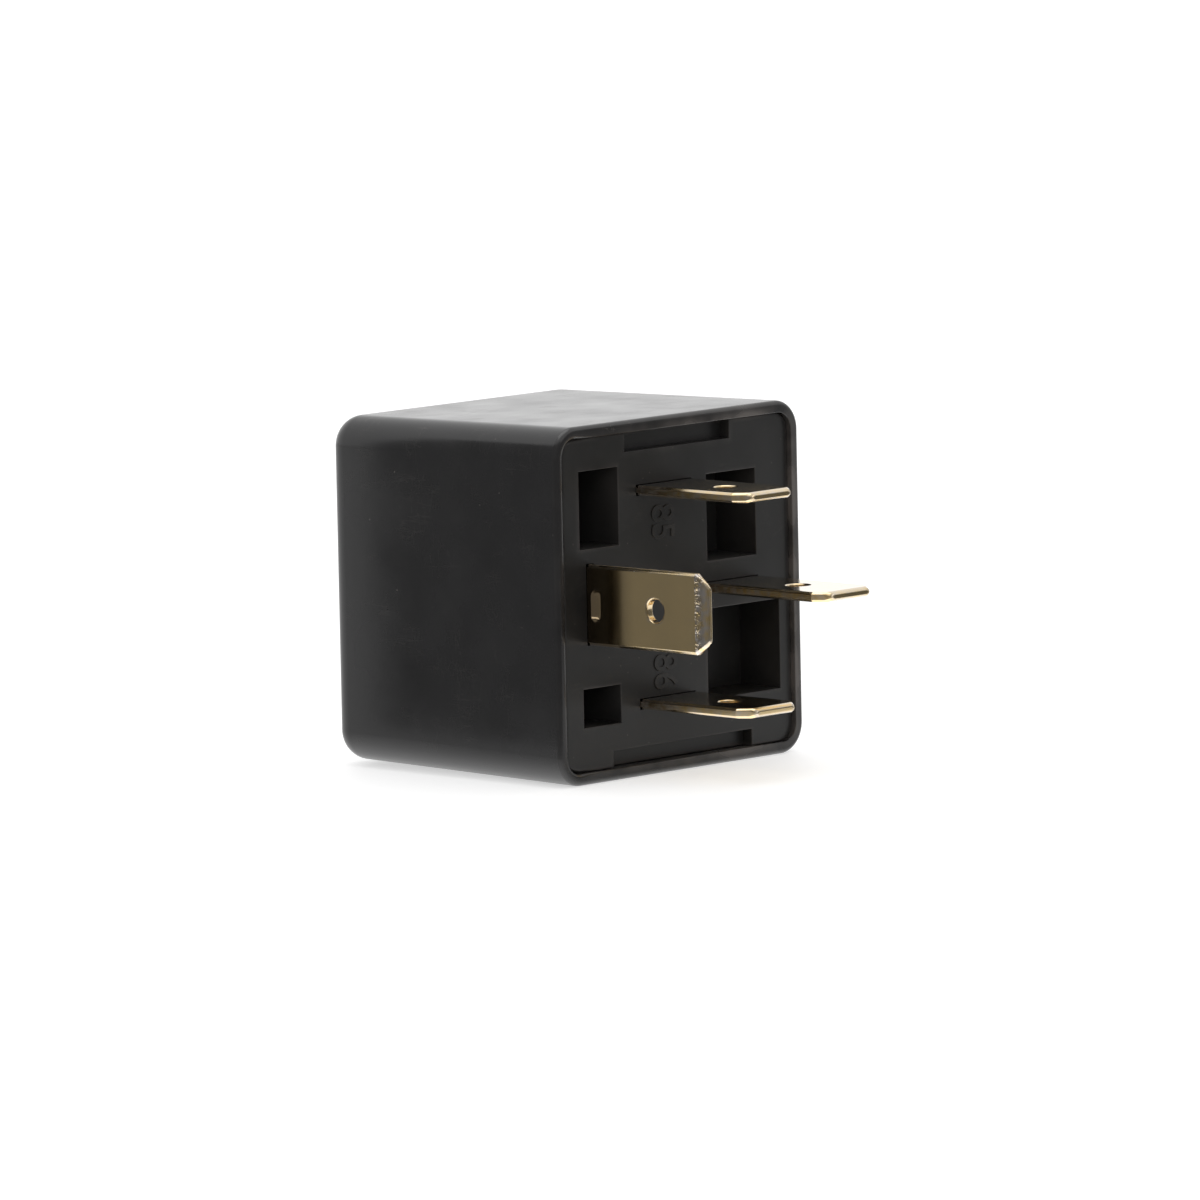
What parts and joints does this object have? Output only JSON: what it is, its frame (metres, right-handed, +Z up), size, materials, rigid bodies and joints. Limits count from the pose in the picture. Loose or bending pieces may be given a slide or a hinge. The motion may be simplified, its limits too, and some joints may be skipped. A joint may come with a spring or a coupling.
{
  "type": "automotive relay",
  "caption": "Cube-shaped plug-in automotive relay with a moulded cover and flat push-on blade terminals.",
  "frame": {"origin": "middle of the base plate's outer face, where the blades come out", "axes": "+X the way the blades point, +Z up with the relay lying on its side, +Y from the upright blade to the single flat load blade"},
  "size_m": [0.0375, 0.028, 0.028],
  "materials": {
    "cover_plastic": "satin black moulding",
    "base_plastic": "fine-grained black moulding",
    "blade_brass": "rolled brass strip, dulled",
    "soft_iron": "nickel-plated soft iron",
    "bobbin_plastic": "natural moulding",
    "copper_wire": "enamelled copper wire",
    "spring_bronze": "rolled spring bronze",
    "contact_silver": "silver alloy",
    "strip_steel": "plated strip",
    "rivet_steel": "turned steel"
  },
  "bodies": {
    "relay": {"cover": "cover_plastic", "base_plate": "base_plastic", "terminal_30": "blade_brass", "terminal_85": "blade_brass", "terminal_86": "blade_brass", "terminal_87": "blade_brass", "yoke": "soft_iron", "core": "soft_iron", "bobbin": "bobbin_plastic", "coil_winding": "copper_wire", "coil_lead_85": "copper_wire", "coil_lead_86": "copper_wire", "hinge_spring": "spring_bronze", "fixed_contact": "contact_silver", "back_stop": "strip_steel", "yoke_rivet_upper": "rivet_steel", "yoke_rivet_lower": "rivet_steel"},
    "armature": {"armature": "soft_iron", "contact_spring": "spring_bronze", "moving_contact": "contact_silver", "armature_rivet_upper": "rivet_steel", "armature_rivet_lower": "rivet_steel"}
  },
  "joints": [
    {"name": "armature_pivot", "type": "hinge", "parent": "relay", "child": "armature", "pos_m": [-0.01935, 0.0105, 0], "axis": [0, 0, 1], "range_deg": [0, 3], "stiffness_Nm_per_rad": 0.02, "springref_deg": -3.44}
  ]
}
